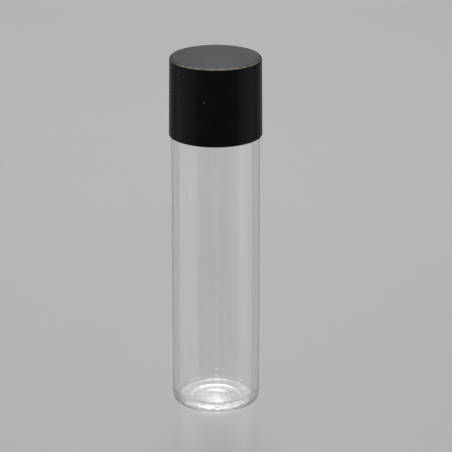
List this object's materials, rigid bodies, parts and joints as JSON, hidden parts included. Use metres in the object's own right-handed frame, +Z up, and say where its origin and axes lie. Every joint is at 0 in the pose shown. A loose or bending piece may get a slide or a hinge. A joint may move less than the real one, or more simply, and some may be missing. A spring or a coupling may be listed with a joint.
{
  "type": "glass sample vial",
  "caption": "Straight-walled clear glass vial with a rounded foot, and a smooth black screw cap that covers its threaded neck and seals it with a disc liner.",
  "frame": {"origin": "centre of the foot, on the plane that the vial stands on", "axes": "+Z up the vial's own axis, from foot to cap"},
  "size_m": [0.021, 0.021, 0.0823],
  "materials": {
    "glass": "clear flame-formed glass",
    "cap_plastic": "smooth satin moulded plastic",
    "liner_foam": "soft closed-cell foam with a smooth face"
  },
  "bodies": {
    "vial": {"vial_glass": "glass"},
    "liner": {"cap_liner": "liner_foam"},
    "cap": {"cap_shell": "cap_plastic"}
  },
  "joints": [
    {"name": "cap_lift", "type": "slide", "parent": "vial", "child": "liner", "axis": [0, 0, 1], "range_m": [0, 0.0191]},
    {"name": "cap_turn", "type": "hinge", "parent": "liner", "child": "cap", "pos_m": [0, 0, 0.0643], "axis": [0, 0, 1], "range_deg": [0, 2160]}
  ],
  "couplings": [
    {"joint": "cap_lift", "follows": "cap_turn", "m_per_rad": 0.00050532}
  ]
}
